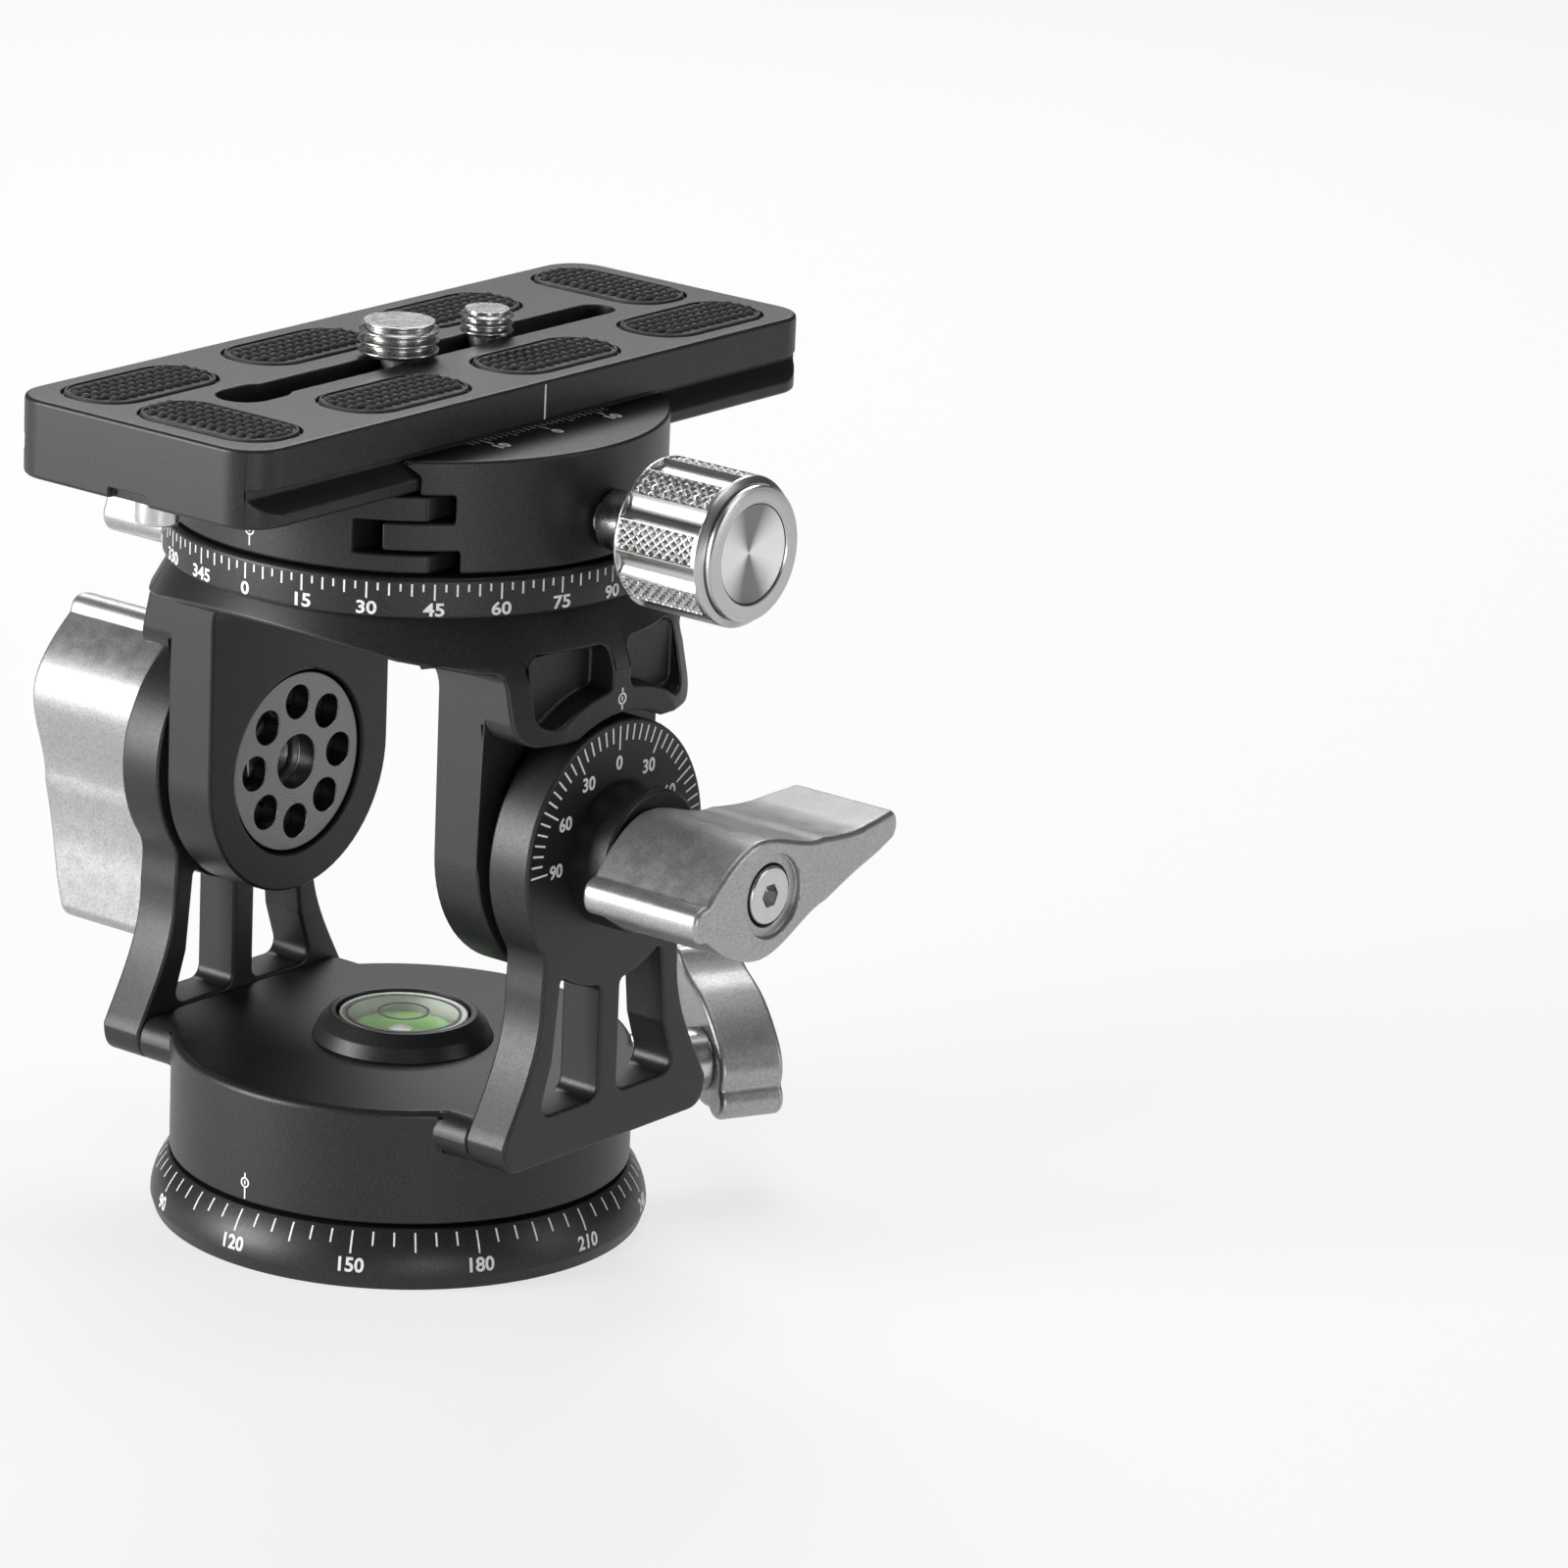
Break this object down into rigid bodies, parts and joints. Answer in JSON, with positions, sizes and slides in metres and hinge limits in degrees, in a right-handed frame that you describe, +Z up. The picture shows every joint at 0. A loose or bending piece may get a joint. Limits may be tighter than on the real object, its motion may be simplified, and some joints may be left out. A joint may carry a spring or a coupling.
{
  "type": "two-way panoramic tripod head",
  "caption": "Two-way panoramic tripod head: panning base with level, tilting yoke between two arms, panning clamp with sliding jaw and quick-release plate with camera screws.",
  "frame": {"origin": "centre of the base's underside, on the lower pan axis", "axes": "+Z is up, along the pan axes; +X runs along the tilt axis towards the knurled jaw knob; -Y is the front, where the dials read zero"},
  "size_m": [0.1112, 0.1, 0.1108],
  "materials": {
    "black_anodised": "bead-blasted and black anodised, satin",
    "black_steel": "blackened, semi-gloss",
    "blasted_silver": "fine blasted, satin silver-grey",
    "turned_silver": "turned, bright",
    "chromed_steel": "bright",
    "spring_steel": "plain",
    "turned_brass": "turned",
    "pad_rubber": "matt with small raised points",
    "slip_plastic": "plain",
    "level_cup": "satin",
    "level_liquid": "clear green",
    "level_lens": "clear"
  },
  "bodies": {
    "base": {"base_flange": "black_anodised", "tripod_bush": "turned_brass", "pan_centre_screw": "black_steel", "pan_thrust_washer": "slip_plastic"},
    "housing": {"pan_housing": "black_anodised", "arm_right": "black_anodised", "arm_left": "black_anodised", "level_bezel": "black_anodised", "level_cup": "level_cup", "level_liquid": "level_liquid", "level_lens": "level_lens", "pan_brake_shoe": "slip_plastic", "tilt_collar_right": "black_anodised", "tilt_collar_left": "black_anodised"},
    "pan_lock": {"pan_lock_wing": "blasted_silver", "pan_lock_screw": "turned_silver"},
    "yoke": {"upper_yoke": "black_anodised", "tilt_nut_right": "turned_silver", "tilt_nut_left": "turned_silver", "tilt_axle_right": "spring_steel", "tilt_axle_left": "spring_steel", "tilt_washer_right": "slip_plastic", "tilt_washer_left": "slip_plastic", "scale_ring": "black_anodised", "handle_socket_right": "black_steel", "handle_socket_left": "black_steel"},
    "lever_right": {"tilt_lever_right": "blasted_silver", "tilt_screw_right": "chromed_steel"},
    "lever_left": {"tilt_lever_left": "blasted_silver", "tilt_screw_left": "chromed_steel"},
    "clamp": {"clamp_base": "black_anodised", "clamp_thrust_washer": "slip_plastic", "clamp_pivot_screw": "chromed_steel", "clamp_brake_shoe": "slip_plastic"},
    "clamp_lock": {"clamp_lock_wing": "blasted_silver", "clamp_lock_screw": "chromed_steel"},
    "jaw": {"clamp_jaw": "black_anodised", "jaw_pin_front": "spring_steel", "jaw_pin_rear": "spring_steel"},
    "jaw_knob": {"knob_screw": "turned_silver", "knob_collar": "turned_silver", "knob_grip": "turned_silver", "knob_cap": "turned_silver"},
    "plate": {"camera_plate": "black_anodised", "rubber_pad_1": "pad_rubber", "rubber_pad_2": "pad_rubber", "rubber_pad_3": "pad_rubber", "rubber_pad_4": "pad_rubber", "rubber_pad_5": "pad_rubber", "rubber_pad_6": "pad_rubber", "rubber_pad_7": "pad_rubber", "rubber_pad_8": "pad_rubber", "stop_screw_front": "chromed_steel", "stop_screw_rear": "chromed_steel"},
    "large_slider": {"large_clip": "spring_steel"},
    "large_camera_screw": {"large_screw": "chromed_steel"},
    "small_slider": {"small_clip": "spring_steel"},
    "small_camera_screw": {"small_screw": "chromed_steel"}
  },
  "joints": [
    {"name": "lower_pan", "type": "hinge", "parent": "base", "child": "housing", "pos_m": [0, 0, 0.0147], "axis": [0, 0, 1], "continuous": true},
    {"name": "pan_lock_turn", "type": "hinge", "parent": "housing", "child": "pan_lock", "pos_m": [0.01753, 0.03595, 0.0142], "axis": [0.4384, 0.8988, 0], "range_deg": [-45, 60]},
    {"name": "tilt", "type": "hinge", "parent": "housing", "child": "yoke", "pos_m": [0, 0, 0.0521], "axis": [1, 0, 0], "range_deg": [-70, 90]},
    {"name": "tilt_lever_right_turn", "type": "hinge", "parent": "housing", "child": "lever_right", "pos_m": [0.046, 0, 0.0521], "axis": [1, 0, 0], "range_deg": [0, 60]},
    {"name": "tilt_lever_left_turn", "type": "hinge", "parent": "housing", "child": "lever_left", "pos_m": [-0.046, 0, 0.0521], "axis": [-1, 0, 0], "range_deg": [0, 60]},
    {"name": "clamp_pan", "type": "hinge", "parent": "yoke", "child": "clamp", "pos_m": [0, 0, 0.0873], "axis": [0, 0, 1], "continuous": true},
    {"name": "clamp_lock_turn", "type": "hinge", "parent": "clamp", "child": "clamp_lock", "pos_m": [-0.035, 0, 0.0903], "axis": [-1, 0, 0], "range_deg": [0, 90]},
    {"name": "jaw_slide", "type": "slide", "parent": "clamp", "child": "jaw", "axis": [1, 0, 0], "range_m": [0, 0.0031]},
    {"name": "knob_turn", "type": "hinge", "parent": "jaw", "child": "jaw_knob", "pos_m": [0.044, 0, 0.0919], "axis": [1, 0, 0], "range_deg": [0, 1350]},
    {"name": "plate_slide", "type": "slide", "parent": "clamp", "child": "plate", "axis": [0, 1, 0], "range_m": [-0.038, 0.038]},
    {"name": "large_screw_slide", "type": "slide", "parent": "plate", "child": "large_slider", "axis": [0, 1, 0], "range_m": [-0.022, 0.005]},
    {"name": "large_screw_turn", "type": "hinge", "parent": "large_slider", "child": "large_camera_screw", "pos_m": [0, -0.0042, 0.1003], "axis": [0, 0, 1], "continuous": true},
    {"name": "small_screw_slide", "type": "slide", "parent": "plate", "child": "small_slider", "axis": [0, 1, 0], "range_m": [-0.005, 0.015]},
    {"name": "small_screw_turn", "type": "hinge", "parent": "small_slider", "child": "small_camera_screw", "pos_m": [0, 0.0116, 0.1003], "axis": [0, 0, 1], "continuous": true}
  ],
  "couplings": [
    {"joint": "jaw_slide", "follows": "knob_turn", "m_per_rad": 0.00012732}
  ]
}
